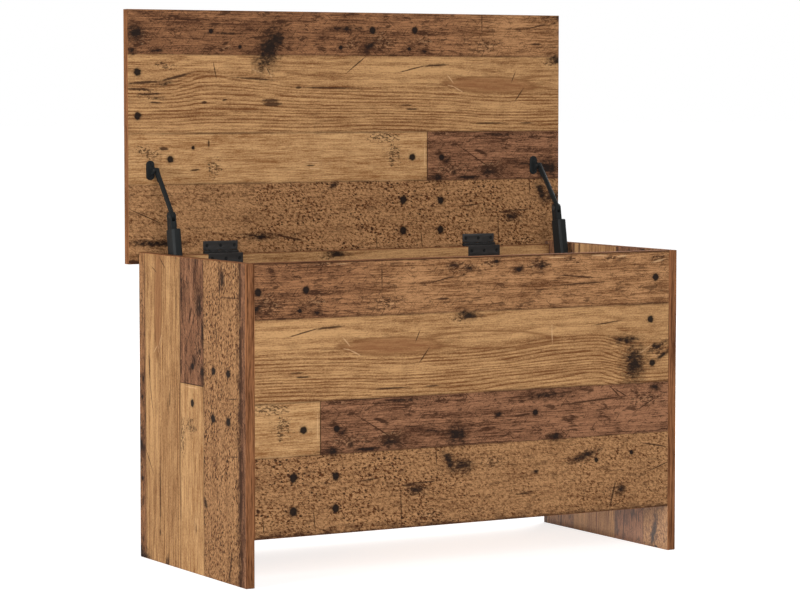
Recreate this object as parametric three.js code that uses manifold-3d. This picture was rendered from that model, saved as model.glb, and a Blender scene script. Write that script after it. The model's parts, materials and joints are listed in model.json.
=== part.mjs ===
// Storage chest: a box of plain boards that stands on its two side boards, with an overhanging lid on two
// hinges and a folding stay at each end. Millimetres, +X to the right, +Y to the back, +Z up. The floor is
// at zero, and the lid is drawn standing open, at right angles to the box.

import * as THREE from 'three';
import { mergeVertices } from 'three/addons/utils/BufferGeometryUtils.js';
import Module from 'manifold-3d';

// Clearances
const seam = 0.3;
const overrun = 1;

// Boards
const board = 15;
const bodyWidth = 810;
const bodyDepth = 383;
const bodyHeight = 505;
const floorGap = 75;
const backDrop = 6;
const lidSideOverhang = 16.5;
const lidFrontOverhang = 17.5;
const lidBackOverhang = 18.5;
const easedEdge = 0.6;

// Dowels between the boards
const dowelRadius = 4;
const dowelLength = 30;
const dowelInSide = 10;
const dowelChamfer = 0.8;
const dowelFromEdge = 60;

// Hinges
const hingeWidth = 64;
const hingeInset = 152;
const hingePinBack = 1.5;
const hingePinRadius = 1.25;
const leafThickness = 1.5;
const knuckleRadius = 3;
const knuckleCount = 5;
const lidLeafReach = 18.3;
const boxLeafDrop = 18.4;
const leafBend = 1.2;
const leafScrewSpacing = 25.5;

// Countersunk screws of the hinges and of the lid plates
const screwHeadRadius = 3;
const screwHeadDepth = 1.7;
const screwShankRadius = 1.4;
const screwLength = 13;
const screwTip = 2.5;
const crossWidth = 0.8;
const crossLength = 3.2;
const crossDepth = 1;

// Lid plate of a stay, with the lug that carries the arm
const plateWidth = 14;
const plateLength = 32;
const plateThickness = 3;
const plateOffset = 7.5;
const plateScrewSpacing = 22;
const lugThickness = 2.5;
const lugRadius = 5;
const lugBase = 14;
const lidPivotStand = 9.3;
const lidPivotReach = 137.5;
const lidPinRadius = 2;

// Arm of a stay
const stayInset = 15.5;
const armLength = 92.8;
const armLean = THREE.MathUtils.degToRad(37);
const armThickness = 5;
const armWidth = 7;
const armEyeRadius = 4.5;
const armBossRadius = 8;
const armCollarLength = 22;
const armCollarStep = 2;

// Neck: the fork at the top of the housing that holds the elbow
const neckThickness = 9.6;
const neckRadius = 7.75;
const neckOffset = 4;
const neckHeight = 21.5;
const neckInsert = 30;
const forkDepth = 12;
const elbowPinRadius = 2.5;

// Housing: the boxed lower limb of a stay, with a foot that reaches back to the base pivot
const housingLean = THREE.MathUtils.degToRad(9.4);
const housingWidth = 16;
const housingDepth = 27;
const housingChamfer = 3;
const housingLength = 126;
const housingRim = 0.8;
const footThickness = 8;
const footRadius = 9;
const footRootRadius = 12;
const footRootRise = 16;

// Brake cartridge inside the housing
const cartridgeRadius = 4.5;
const cartridgeLength = 60;
const plungerRadius = 2.2;

// Bracket on the side board that carries the housing
const bracketWidth = 20;
const bracketLength = 64;
const bracketThickness = 2.5;
const bracketBossRadius = 6.5;
const bracketScrewSpacing = 44;
const basePinRadius = 3;

// Heads of the stay pins
const pinHeadGrowth = 2;
const pinHeadThickness = 1.5;

// Roundness of the solids
const roundSides = 16;
const screwSides = 12;
const arcSteps = 10;

// Levels and planes that follow from the sizes above
const lidFace = knuckleRadius + seam;
const overallDepth = bodyDepth + hingePinBack + lidFace + board;
const frontFace = -overallDepth / 2;
const backFace = frontFace + bodyDepth;
const sideInner = bodyWidth / 2 - board;
const railLength = 2 * (sideInner - seam);
const backTop = bodyHeight - backDrop;
const pinY = backFace + hingePinBack;
const pinZ = bodyHeight - knuckleRadius;
const lidWidth = bodyWidth + 2 * lidSideOverhang;
const lidDepth = bodyDepth + lidFrontOverhang + lidBackOverhang;
const lidTail = lidBackOverhang - hingePinBack;

// Pivots of a stay, as (y, z) from the hinge pin. The four pivots are the corners of a parallelogram: the
// housing swings by the angle of the lid, and the arm keeps its slope.
const lidPivot = new THREE.Vector2(lidFace - lidPivotStand, lidPivotReach);
const armVector = new THREE.Vector2(Math.sin(armLean), Math.cos(armLean)).multiplyScalar(armLength);
const elbow = lidPivot.clone().sub(armVector);
const basePivot = armVector.clone().negate();

const wood = { color: 0x8f6a45, roughness: 0.62, metalness: 0 };
const birch = { color: 0xc7a878, roughness: 0.7, metalness: 0 };
const blackSteel = { color: 0x2b2d2e, roughness: 0.45, metalness: 0.4 };
const blackPlastic = { color: 0x26292a, roughness: 0.5, metalness: 0 };

const wasm = await Module();
wasm.setup();

// Solids and joins

function solid(geometry) {
  const bare = geometry.clone();
  bare.deleteAttribute('normal');
  bare.deleteAttribute('uv');
  const merged = mergeVertices(bare);
  return new wasm.Manifold(new wasm.Mesh({
    numProp: 3,
    vertProperties: new Float32Array(merged.getAttribute('position').array),
    triVerts: new Uint32Array(merged.getIndex().array),
  }));
}

function fromSolid(body) {
  const { vertProperties, triVerts } = body.getMesh();
  const geometry = new THREE.BufferGeometry();
  geometry.setAttribute('position', new THREE.BufferAttribute(new Float32Array(vertProperties), 3));
  geometry.setIndex(new THREE.BufferAttribute(new Uint32Array(triVerts), 1));
  geometry.computeVertexNormals();
  return geometry;
}

// One geometry from pieces joined into one body, less the cutters.
function shaped(pieces, cutters = []) {
  let body = solid(pieces[0]);
  for (const piece of pieces.slice(1)) {
    body = body.add(solid(piece));
  }
  for (const cutter of cutters) {
    body = body.subtract(solid(cutter));
  }
  return fromSolid(body);
}

function block(low, high) {
  const geometry = new THREE.BoxGeometry(high[0] - low[0], high[1] - low[1], high[2] - low[2]);
  return geometry.translate((low[0] + high[0]) / 2, (low[1] + high[1]) / 2, (low[2] + high[2]) / 2);
}

// A board of the given size about its own middle, with its edges eased.
function easedBoard(width, depth, height) {
  const outline = new THREE.Shape([
    new THREE.Vector2(-width / 2, -depth / 2),
    new THREE.Vector2(width / 2, -depth / 2),
    new THREE.Vector2(width / 2, depth / 2),
    new THREE.Vector2(-width / 2, depth / 2),
  ]);
  const geometry = new THREE.ExtrudeGeometry(outline, {
    depth: height - 2 * easedEdge,
    bevelSize: easedEdge,
    bevelThickness: easedEdge,
    bevelOffset: -easedEdge,
    bevelSegments: 1,
  });
  return geometry.translate(0, 0, easedEdge - height / 2);
}

// An outline drawn in (y, z), thickened along X from low to high.
function slab(outline, low, high) {
  const geometry = new THREE.ExtrudeGeometry(outline, {
    depth: high - low,
    bevelEnabled: false,
    curveSegments: arcSteps,
  });
  const turn = new THREE.Matrix4().makeBasis(
    new THREE.Vector3(0, 1, 0),
    new THREE.Vector3(0, 0, 1),
    new THREE.Vector3(1, 0, 0),
  );
  return geometry.applyMatrix4(turn).translate(low, 0, 0);
}

// A cylinder along X from low to high, on the point (y, z).
function rodAlongX(radius, low, high, centre) {
  const geometry = new THREE.CylinderGeometry(radius, radius, high - low, roundSides);
  return geometry.rotateZ(Math.PI / 2).translate((low + high) / 2, centre.x, centre.y);
}

// The outline round two circles and the straight lines that touch both.
function linkOutline(first, firstRadius, second, secondRadius) {
  const across = second.clone().sub(first);
  const heading = Math.atan2(across.y, across.x);
  const touch = Math.acos((firstRadius - secondRadius) / across.length());
  const outline = new THREE.Shape();
  outline.absarc(first.x, first.y, firstRadius, heading + touch, heading - touch + 2 * Math.PI, false);
  outline.absarc(second.x, second.y, secondRadius, heading - touch, heading + touch, false);
  return outline;
}

function capsuleOutline(width, length) {
  const radius = width / 2;
  const straight = length / 2 - radius;
  const outline = new THREE.Shape();
  outline.absarc(0, straight, radius, 0, Math.PI, false);
  outline.absarc(0, -straight, radius, Math.PI, 2 * Math.PI, false);
  return outline;
}

// Screws and dowels

// The body of a countersunk screw: its head's top at the origin, its tip down -Y, grown all round by
// the given margin and raised above the head by the given rise.
function screwBody(margin, rise) {
  const profile = [
    new THREE.Vector2(0, -screwLength - margin),
    new THREE.Vector2(screwShankRadius + margin, -screwLength + screwTip - margin),
    new THREE.Vector2(screwShankRadius + margin, -screwHeadDepth),
    new THREE.Vector2(screwHeadRadius + margin, 0),
  ];
  if (rise > 0) {
    profile.push(new THREE.Vector2(screwHeadRadius + margin, rise));
  }
  profile.push(new THREE.Vector2(0, rise));
  return new THREE.LatheGeometry(profile, screwSides);
}

const screwShape = shaped([screwBody(0, 0)], [
  block([-crossLength / 2, -crossDepth, -crossWidth / 2], [crossLength / 2, overrun, crossWidth / 2]),
  block([-crossWidth / 2, -crossDepth, -crossLength / 2], [crossWidth / 2, overrun, crossLength / 2]),
]);

// The turn that points a screw's tip along a direction.
function screwTurn(direction) {
  return new THREE.Quaternion().setFromUnitVectors(new THREE.Vector3(0, -1, 0), direction);
}

function screwHole(position, direction) {
  return screwBody(seam, overrun).applyQuaternion(screwTurn(direction)).translate(...position.toArray());
}

const intoBack = new THREE.Vector3(0, 1, 0);

function dowelShape() {
  const profile = [
    new THREE.Vector2(0, 0),
    new THREE.Vector2(dowelRadius - dowelChamfer, 0),
    new THREE.Vector2(dowelRadius, dowelChamfer),
    new THREE.Vector2(dowelRadius, dowelLength - dowelChamfer),
    new THREE.Vector2(dowelRadius - dowelChamfer, dowelLength),
    new THREE.Vector2(0, dowelLength),
  ];
  return new THREE.LatheGeometry(profile, screwSides).rotateZ(-Math.PI / 2);
}

// Places of the dowels as (y, z), the same at both ends of the box.
const frontDowelY = frontFace + board / 2;
const backDowelY = backFace - board / 2;
const lowDowelZ = floorGap + dowelFromEdge;
const dowelPlaces = {
  front_low: new THREE.Vector2(frontDowelY, lowDowelZ),
  front_high: new THREE.Vector2(frontDowelY, bodyHeight - dowelFromEdge),
  back_low: new THREE.Vector2(backDowelY, lowDowelZ),
  back_high: new THREE.Vector2(backDowelY, bodyHeight - dowelFromEdge),
  bottom: new THREE.Vector2((frontFace + backFace) / 2, floorGap + board / 2),
};

function dowelHoles(names) {
  const reach = sideInner + dowelInSide + seam;
  const depth = dowelLength + 2 * seam;
  const radius = dowelRadius + seam;
  const holes = [];
  for (const name of names) {
    holes.push(rodAlongX(radius, -reach, depth - reach, dowelPlaces[name]));
    holes.push(rodAlongX(radius, reach - depth, reach, dowelPlaces[name]));
  }
  return holes;
}

const chest = new THREE.Group();

function place(parent, name, geometry, finish, position = new THREE.Vector3()) {
  const mesh = new THREE.Mesh(geometry, new THREE.MeshStandardMaterial(finish));
  mesh.name = name;
  mesh.position.copy(position);
  parent.add(mesh);
  return mesh;
}

function placeScrew(parent, name, position, direction) {
  const screw = place(parent, name, screwShape.clone(), blackSteel, position);
  screw.quaternion.copy(screwTurn(direction));
}

// The two ends of the box: where each side board's inner face is, and which way the inside lies.
const ends = [
  { side: 'left', inner: -sideInner, inward: 1 },
  { side: 'right', inner: sideInner, inward: -1 },
];

// Places of the screws in the hinges, from the middle of the pin
const leafMiddle = (knuckleRadius + lidLeafReach) / 2;
const stripTop = seam + leafThickness - backDrop + knuckleRadius;
const boxLeafFace = -(hingePinBack + board + seam + leafThickness);
const lidLeafFace = knuckleRadius - leafThickness;
const leafScrewRow = [-leafScrewSpacing, 0, leafScrewSpacing];

function leafScrews(y, z) {
  return leafScrewRow.map((x) => new THREE.Vector3(x, y, z));
}

const lidLeafScrews = leafScrews(lidLeafFace, leafMiddle);
const boxLeafScrews = leafScrews(boxLeafFace, stripTop - boxLeafDrop / 2);
const hingeCentres = [-1, 1].map((way) => new THREE.Vector3(way * (bodyWidth / 2 - hingeInset), pinY, pinZ));

// Places of the screws in a stay's lid plate, from the hinge pin and the side board's inner face
function armMiddle(end) {
  return end.inward * stayInset;
}

const plateFace = lidFace - seam - plateThickness;

function plateScrews(end) {
  return [-1, 1].map((way) => new THREE.Vector3(
    armMiddle(end) - plateOffset,
    plateFace,
    lidPivotReach + way * plateScrewSpacing / 2,
  ));
}

function bracketScrews(end) {
  return [-1, 1].map((way) => new THREE.Vector3(
    end.inward * (seam + bracketThickness),
    basePivot.x,
    basePivot.y + way * bracketScrewSpacing / 2,
  ));
}

function stayOrigin(end) {
  return new THREE.Vector3(end.inner, pinY, pinZ);
}

function intoSide(end) {
  return new THREE.Vector3(-end.inward, 0, 0);
}

// Boards

function sideBoard(end) {
  const slabMiddle = new THREE.Vector3(
    end.inner - end.inward * board / 2,
    (frontFace + backFace) / 2,
    bodyHeight / 2,
  );
  const holes = bracketScrews(end).map((spot) => screwHole(spot.add(stayOrigin(end)), intoSide(end)));
  return shaped(
    [easedBoard(board, bodyDepth, bodyHeight).translate(...slabMiddle.toArray())],
    [...dowelHoles(Object.keys(dowelPlaces)), ...holes],
  );
}

function railBoard(back, low, high, dowels, holes) {
  const rail = easedBoard(railLength, board, high - low);
  return shaped([rail.translate(0, back - board / 2, (low + high) / 2)], [...dowelHoles(dowels), ...holes]);
}

function lidBoard() {
  const low = pinZ - lidTail;
  const lid = easedBoard(lidWidth, board, lidDepth);
  lid.translate(0, pinY + lidFace + board / 2, low + lidDepth / 2);
  const holes = [];
  for (const centre of hingeCentres) {
    for (const spot of lidLeafScrews) {
      holes.push(screwHole(spot.clone().add(centre), intoBack));
    }
  }
  for (const end of ends) {
    for (const spot of plateScrews(end)) {
      holes.push(screwHole(spot.add(stayOrigin(end)), intoBack));
    }
  }
  return shaped([lid], holes);
}

function bottomBoard() {
  const depth = bodyDepth - 2 * (board + seam);
  const bottom = easedBoard(railLength, depth, board);
  bottom.translate(0, (frontFace + backFace) / 2, floorGap + board / 2);
  return shaped([bottom], dowelHoles(['bottom']));
}

const backHoles = hingeCentres.flatMap((centre) => (
  boxLeafScrews.map((spot) => screwHole(spot.clone().add(centre), intoBack))
));
for (const end of ends) {
  place(chest, `${end.side}_side_board`, sideBoard(end), wood);
}
place(
  chest,
  'front_board',
  railBoard(frontFace + board, floorGap, bodyHeight, ['front_low', 'front_high'], []),
  wood,
);
place(
  chest,
  'back_board',
  railBoard(backFace, floorGap, backTop, ['back_low', 'back_high'], backHoles),
  wood,
);
place(chest, 'bottom_board', bottomBoard(), wood);
place(chest, 'lid_board', lidBoard(), wood);

for (const end of ends) {
  const start = end.inward > 0 ? end.inner - dowelInSide : end.inner + dowelInSide - dowelLength;
  for (const [name, spot] of Object.entries(dowelPlaces)) {
    place(chest, `${name}_dowel_${end.side}`, dowelShape(), birch, new THREE.Vector3(start, spot.x, spot.y));
  }
}

// Hinges, drawn about the middle of the pin

const knuckleLength = (hingeWidth - (knuckleCount - 1) * seam) / knuckleCount;
const onPin = new THREE.Vector2(0, 0);

// The knuckles of one leaf: the even ones are the box leaf's and the odd ones the lid leaf's.
function knuckles(first) {
  const spans = [];
  for (let n = first; n < knuckleCount; n += 2) {
    const low = n * (knuckleLength + seam) - hingeWidth / 2;
    spans.push([low, low + knuckleLength]);
  }
  return spans;
}

function lidLeaf() {
  const foot = knuckleRadius + seam;
  const pieces = [block([-hingeWidth / 2, lidLeafFace, foot], [hingeWidth / 2, knuckleRadius, lidLeafReach])];
  for (const [low, high] of knuckles(1)) {
    pieces.push(rodAlongX(knuckleRadius, low, high, onPin));
    pieces.push(block([low, lidLeafFace, 0], [high, knuckleRadius, foot + leafThickness]));
  }
  const bore = rodAlongX(hingePinRadius + seam, -hingeWidth, hingeWidth, onPin);
  return shaped(pieces, [bore, ...lidLeafScrews.map((spot) => screwHole(spot, intoBack))]);
}

// The box leaf lies on the back board's inner face, bends over its top edge and runs back to the pin.
function boxLeaf() {
  const stripBottom = stripTop - leafThickness;
  const stripEnd = -(knuckleRadius + seam);
  const inside = boxLeafFace + leafThickness;
  const low = stripTop - boxLeafDrop;
  const outline = new THREE.Shape();
  outline.moveTo(stripEnd, stripBottom);
  outline.lineTo(stripEnd, stripTop);
  outline.lineTo(boxLeafFace + leafBend, stripTop);
  outline.absarc(boxLeafFace + leafBend, stripTop - leafBend, leafBend, Math.PI / 2, Math.PI, false);
  outline.lineTo(boxLeafFace, low);
  outline.lineTo(inside, low);
  outline.lineTo(inside, stripBottom);
  const pieces = [slab(outline, -hingeWidth / 2, hingeWidth / 2)];
  for (const [left, right] of knuckles(0)) {
    pieces.push(rodAlongX(knuckleRadius, left, right, onPin));
    pieces.push(block([left, stripEnd - leafThickness, stripBottom], [right, 0, stripTop]));
  }
  const bore = rodAlongX(hingePinRadius + seam, -hingeWidth, hingeWidth, onPin);
  return shaped(pieces, [bore, ...boxLeafScrews.map((spot) => screwHole(spot, intoBack))]);
}

hingeCentres.forEach((centre, index) => {
  const side = ends[index].side;
  const hinge = new THREE.Group();
  hinge.position.copy(centre);
  chest.add(hinge);
  place(hinge, `${side}_hinge_lid_leaf`, lidLeaf(), blackSteel);
  place(hinge, `${side}_hinge_box_leaf`, boxLeaf(), blackSteel);
  const pin = rodAlongX(hingePinRadius, -hingeWidth / 2, hingeWidth / 2, onPin);
  place(hinge, `${side}_hinge_pin`, pin, blackSteel);
  lidLeafScrews.forEach((spot, n) => {
    placeScrew(hinge, `${side}_hinge_lid_screw_${n + 1}`, spot, intoBack);
  });
  boxLeafScrews.forEach((spot, n) => {
    placeScrew(hinge, `${side}_hinge_box_screw_${n + 1}`, spot, intoBack);
  });
});

// Stays, drawn from the hinge pin and the side board's inner face

// The span between two distances from the side board's inner face, lowest first.
function span(end, near, far) {
  return [end.inward * near, end.inward * far].sort((a, b) => a - b);
}

function capsulePlate(width, length, low, high) {
  return slab(capsuleOutline(width, length), low, high);
}

function sideBracket(end) {
  const [plateLow, plateHigh] = span(end, seam, seam + bracketThickness);
  const bossEnd = stayInset - footThickness / 2 - seam;
  const [bossLow, bossHigh] = span(end, seam + bracketThickness / 2, bossEnd);
  const [boreLow, boreHigh] = span(end, seam + bracketThickness, bossEnd + overrun);
  const plate = capsulePlate(bracketWidth, bracketLength, plateLow, plateHigh);
  return shaped(
    [
      plate.translate(0, basePivot.x, basePivot.y),
      rodAlongX(bracketBossRadius, bossLow, bossHigh, basePivot),
    ],
    [
      rodAlongX(basePinRadius + seam, boreLow, boreHigh, basePivot),
      ...bracketScrews(end).map((spot) => screwHole(spot, intoSide(end))),
    ],
  );
}

// A pin along X whose head lies past its far end: near and far are distances from the side board.
function headedPin(end, radius, near, far, centre) {
  const [low, high] = span(end, near, far + pinHeadThickness);
  const [headLow, headHigh] = span(end, far, far + pinHeadThickness);
  return shaped([
    rodAlongX(radius, low, high, centre),
    rodAlongX(radius + pinHeadGrowth, headLow, headHigh, centre),
  ]);
}

// Pieces of the lower limb are drawn standing upright with the elbow at the origin, then leaned back.
function leaned(geometry) {
  return geometry.rotateX(-housingLean).translate(0, elbow.x, elbow.y);
}

function housing(end) {
  const middle = armMiddle(end);
  const halfWidth = housingWidth / 2 - housingRim;
  const halfDepth = housingDepth / 2 - housingRim;
  const outline = new THREE.Shape([
    new THREE.Vector2(-halfWidth + housingChamfer, -halfDepth),
    new THREE.Vector2(halfWidth - housingChamfer, -halfDepth),
    new THREE.Vector2(halfWidth, -halfDepth + housingChamfer),
    new THREE.Vector2(halfWidth, halfDepth - housingChamfer),
    new THREE.Vector2(halfWidth - housingChamfer, halfDepth),
    new THREE.Vector2(-halfWidth + housingChamfer, halfDepth),
    new THREE.Vector2(-halfWidth, halfDepth - housingChamfer),
    new THREE.Vector2(-halfWidth, -halfDepth + housingChamfer),
  ]);
  const shell = new THREE.ExtrudeGeometry(outline, {
    depth: housingLength - 2 * housingRim,
    bevelSize: housingRim,
    bevelThickness: housingRim,
    bevelSegments: 1,
  }).translate(middle, -neckOffset, housingRim - neckHeight - housingLength);

  // The foot runs from the housing's lower end to the base pivot.
  const pivot = basePivot.clone().sub(elbow).rotateAround(onPin, housingLean);
  const root = new THREE.Vector2(-neckOffset, footRootRise - neckHeight - housingLength);
  const foot = slab(
    linkOutline(pivot, footRadius, root, footRootRadius),
    middle - footThickness / 2,
    middle + footThickness / 2,
  );
  const cavityHalfWidth = neckThickness / 2 + seam;
  const cavityHalfDepth = neckRadius + seam;
  const cavityDepth = neckInsert + cartridgeLength + 2 * seam;
  const cavity = block(
    [middle - cavityHalfWidth, -cavityHalfDepth, -neckHeight - cavityDepth],
    [middle + cavityHalfWidth, cavityHalfDepth, overrun - neckHeight],
  );
  const pinHole = rodAlongX(
    basePinRadius + seam,
    middle - housingWidth,
    middle + housingWidth,
    pivot,
  );
  return leaned(shaped([shell, foot], [cavity, pinHole]));
}

function neck(end) {
  const middle = armMiddle(end);
  const low = -neckHeight - neckInsert;
  const outline = new THREE.Shape();
  outline.moveTo(neckRadius, low);
  outline.lineTo(neckRadius, 0);
  outline.absarc(0, 0, neckRadius, 0, Math.PI, false);
  outline.lineTo(-neckRadius, low);
  const slotHalf = armThickness / 2 + seam;
  const slot = block(
    [middle - slotHalf, -neckRadius - overrun, -forkDepth],
    [middle + slotHalf, neckRadius + overrun, neckRadius + overrun],
  );
  const boreRadius = plungerRadius + seam;
  const bore = new THREE.CylinderGeometry(boreRadius, boreRadius, -low, roundSides);
  bore.rotateX(Math.PI / 2).translate(middle, 0, (low - forkDepth) / 2);
  const pinHole = rodAlongX(elbowPinRadius + seam, middle - neckThickness, middle + neckThickness, onPin);
  const body = slab(outline, middle - neckThickness / 2, middle + neckThickness / 2);
  return leaned(shaped([body], [slot, bore, pinHole]));
}

// The cartridge stands on the floor of the housing's bore, and its plunger presses on the arm's boss.
function brakeCartridge(end) {
  const high = -neckHeight - neckInsert - seam;
  const profile = [
    new THREE.Vector2(0, high - cartridgeLength),
    new THREE.Vector2(cartridgeRadius, high - cartridgeLength),
    new THREE.Vector2(cartridgeRadius, high),
    new THREE.Vector2(plungerRadius, high),
    new THREE.Vector2(plungerRadius, -armBossRadius - seam),
    new THREE.Vector2(0, -armBossRadius - seam),
  ];
  const body = new THREE.LatheGeometry(profile, roundSides).rotateX(Math.PI / 2);
  return leaned(body.translate(armMiddle(end), 0, 0));
}

// The arm is drawn upright with the elbow at the origin: a round boss, a bar that runs up along the
// boss's front, a thicker collar and the eye of the lid pin.
function arm(end) {
  const middle = armMiddle(end);
  const frontAt = (z) => -armBossRadius + (armBossRadius - armEyeRadius) * z / armLength;
  const joinY = armWidth - armBossRadius;
  const joinZ = Math.sqrt(armBossRadius ** 2 - joinY ** 2);
  const collarZ = armLength - armCollarLength;
  const barZ = collarZ - armCollarStep;
  const outline = new THREE.Shape();
  outline.moveTo(-armBossRadius, 0);
  outline.lineTo(-armEyeRadius, armLength);
  outline.absarc(0, armLength, armEyeRadius, Math.PI, 0, true);
  outline.lineTo(frontAt(collarZ) + 2 * armEyeRadius, collarZ);
  outline.lineTo(frontAt(barZ) + armWidth, barZ);
  outline.absarc(0, 0, armBossRadius, Math.atan2(joinZ, joinY), -Math.PI, true);
  const low = middle - armThickness / 2;
  const high = middle + armThickness / 2;
  const eyeCentre = new THREE.Vector2(0, armLength);
  const geometry = shaped([slab(outline, low, high)], [
    rodAlongX(elbowPinRadius + seam, low - overrun, high + overrun, onPin),
    rodAlongX(lidPinRadius + seam, low - overrun, high + overrun, eyeCentre),
  ]);
  return geometry.rotateX(-armLean).translate(0, elbow.x, elbow.y);
}

// The lid plates are alike, not mirrored: both lugs stand at the right edge of their plates, and both
// arms hang on the right of their lugs.
function lidPlate(end) {
  const middle = armMiddle(end);
  const plate = capsulePlate(plateWidth, plateLength, 0, plateThickness).rotateZ(Math.PI / 2);
  plate.translate(middle - plateOffset, plateFace, lidPivot.y);
  const outline = new THREE.Shape();
  outline.moveTo(plateFace + plateThickness / 2, lidPivot.y - lugBase / 2);
  outline.lineTo(plateFace + plateThickness / 2, lidPivot.y + lugBase / 2);
  outline.lineTo(plateFace, lidPivot.y + lugBase / 2);
  outline.absarc(lidPivot.x, lidPivot.y, lugRadius, Math.PI / 2, 3 * Math.PI / 2, false);
  outline.lineTo(plateFace, lidPivot.y - lugBase / 2);
  const lugHigh = middle - armThickness / 2 - seam;
  const lug = slab(outline, lugHigh - lugThickness, lugHigh);
  const lugLow = lugHigh - lugThickness;
  const pinHole = rodAlongX(lidPinRadius + seam, lugLow - overrun, lugHigh + overrun, lidPivot);
  return shaped([plate, lug], [pinHole, ...plateScrews(end).map((spot) => screwHole(spot, intoBack))]);
}

function lidPin(end) {
  const middle = armMiddle(end);
  const low = middle - armThickness / 2 - seam - lugThickness;
  const headLow = middle + armThickness / 2 + seam;
  const high = headLow + pinHeadThickness;
  return shaped([
    rodAlongX(lidPinRadius, low, high, lidPivot),
    rodAlongX(lidPinRadius + pinHeadGrowth, headLow, high, lidPivot),
  ]);
}

for (const end of ends) {
  const { side } = end;
  const stay = new THREE.Group();
  stay.position.copy(stayOrigin(end));
  chest.add(stay);
  place(stay, `${side}_stay_bracket`, sideBracket(end), blackSteel);
  bracketScrews(end).forEach((spot, n) => {
    placeScrew(stay, `${side}_stay_bracket_screw_${n + 1}`, spot, intoSide(end));
  });
  const footFar = stayInset + footThickness / 2 + seam;
  const basePin = headedPin(end, basePinRadius, 2 * seam + bracketThickness, footFar, basePivot);
  place(stay, `${side}_stay_base_pin`, basePin, blackSteel);
  place(stay, `${side}_stay_housing`, housing(end), blackPlastic);
  place(stay, `${side}_stay_neck`, neck(end), blackSteel);
  place(stay, `${side}_stay_brake_cartridge`, brakeCartridge(end), blackSteel);
  const neckNear = stayInset - neckThickness / 2;
  const neckFar = stayInset + neckThickness / 2 + seam;
  place(stay, `${side}_stay_elbow_pin`, headedPin(end, elbowPinRadius, neckNear, neckFar, elbow), blackSteel);
  place(stay, `${side}_stay_arm`, arm(end), blackSteel);
  place(stay, `${side}_stay_lid_plate`, lidPlate(end), blackSteel);
  place(stay, `${side}_stay_lid_pin`, lidPin(end), blackSteel);
  plateScrews(end).forEach((spot, n) => {
    placeScrew(stay, `${side}_stay_plate_screw_${n + 1}`, spot, intoBack);
  });
}

export default chest;
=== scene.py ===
import json
import math

import bmesh
import bpy
from bpy.props import FloatProperty, FloatVectorProperty, IntProperty, PointerProperty
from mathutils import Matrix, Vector


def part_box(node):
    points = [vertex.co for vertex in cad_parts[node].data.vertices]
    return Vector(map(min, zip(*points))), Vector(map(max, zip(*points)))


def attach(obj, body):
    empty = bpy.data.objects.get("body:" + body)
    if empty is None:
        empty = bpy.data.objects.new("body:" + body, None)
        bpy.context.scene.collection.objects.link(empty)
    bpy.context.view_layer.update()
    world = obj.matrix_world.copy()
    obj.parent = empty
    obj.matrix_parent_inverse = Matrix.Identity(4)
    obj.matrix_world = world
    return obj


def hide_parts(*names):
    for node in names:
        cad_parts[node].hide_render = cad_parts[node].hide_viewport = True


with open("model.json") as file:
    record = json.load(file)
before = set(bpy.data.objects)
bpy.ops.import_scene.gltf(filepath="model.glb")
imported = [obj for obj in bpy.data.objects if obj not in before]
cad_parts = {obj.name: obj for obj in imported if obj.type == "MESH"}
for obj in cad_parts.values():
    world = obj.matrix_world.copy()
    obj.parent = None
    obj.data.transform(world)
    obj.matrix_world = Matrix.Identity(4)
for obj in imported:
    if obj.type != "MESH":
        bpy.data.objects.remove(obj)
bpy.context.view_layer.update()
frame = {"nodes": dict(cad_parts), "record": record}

bl_info = {
    "name": "Storage chest",
    "version": (1, 0, 0),
    "blender": (4, 5, 0),
    "location": "View3D > Sidebar > Chest",
    "description": "Dresses the storage chest: printed boards, hinges, lid stays and the studio around them",
    "category": "Object",
}

BODY_OF_NODE = {
    node: body for body, nodes in frame["record"]["behaviour"]["bodies"].items() for node in nodes
}
MM = 0.001
AXES = "XYZ"


def middle(node):
    low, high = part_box(node)
    return (low + high) / 2


# How far the painted shade round the hinge knuckles reaches from the line of the pins, standing for the shadow
# gap between the leaves and the barrel, and a length that takes the measure along such a line out of account
HINGE_LINE = middle("left_hinge_pin")
KNUCKLE_SHADE_REACH = 3.2 * MM
FAR_ALONG = 1e6

# The lower limb of a stay: its elbow, how far its neck leans back, how deep the slot in its fork is,
# how far the slot's floor is lifted, and how near that floor a point lies that belongs to it
ELBOW = middle("left_stay_elbow_pin")
NECK_LEAN = math.radians(9.4)
FORK_DEPTH = 12 * MM
SLOT_LIFT = 3.4 * MM
SLOT_NEAR = 0.3 * MM

# Length and thickness of one streak in the dowels' grain, and how deep the grain is
DOWEL_GRAIN = (20 * MM, 0.9 * MM, 0.9 * MM)
DOWEL_RELIEF = 0.1 * MM

# Length and thickness in millimetres of what streaks the edge band
BAND_GRAIN = {"streaks": (90, 2.2), "fibres": (16, 0.8), "pores": (25.6, 1.28), "grime_and_shade": (51.2, 2.56)}

# Hard finishes: size of their grain, unevenness of colour, roughness and shine
STEEL_COAT = (0.5 * MM, 0.14, 0.5, 0.12)
SCREW_COAT = (0.5 * MM, 0.14, 0.4, 0.1)
MOULDING = (0.35 * MM, 0.12, 0.46, 0.09)
WEAR_SIZE = 14 * MM
COAT_RELIEF = 0.04 * MM

# Points of the hardware nearer than this are one, faces that turn by less than the first angle are
# one, and edges that turn by more than the second are rounded
MERGE_GAP = 0.004 * MM
FLAT_ANGLE = math.radians(0.5)
SHARP_ANGLE = math.radians(32)
SOFT_STEPS = 2


def linear(red, green, blue):
    """A colour read off a screen, from 0 to 255, as the linear values that shaders take."""
    def straighten(value):
        value /= 255
        return value / 12.92 if value <= 0.04045 else ((value + 0.055) / 1.055) ** 2.4
    return straighten(red), straighten(green), straighten(blue)


def opaque(colour):
    return (*colour, 1.0)


# The decor sheet that every board is cut from. Places on it are in millimetres, along the grain
# and across it; planks lie in rows, and the rows come back after the sheet's own depth.

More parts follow.
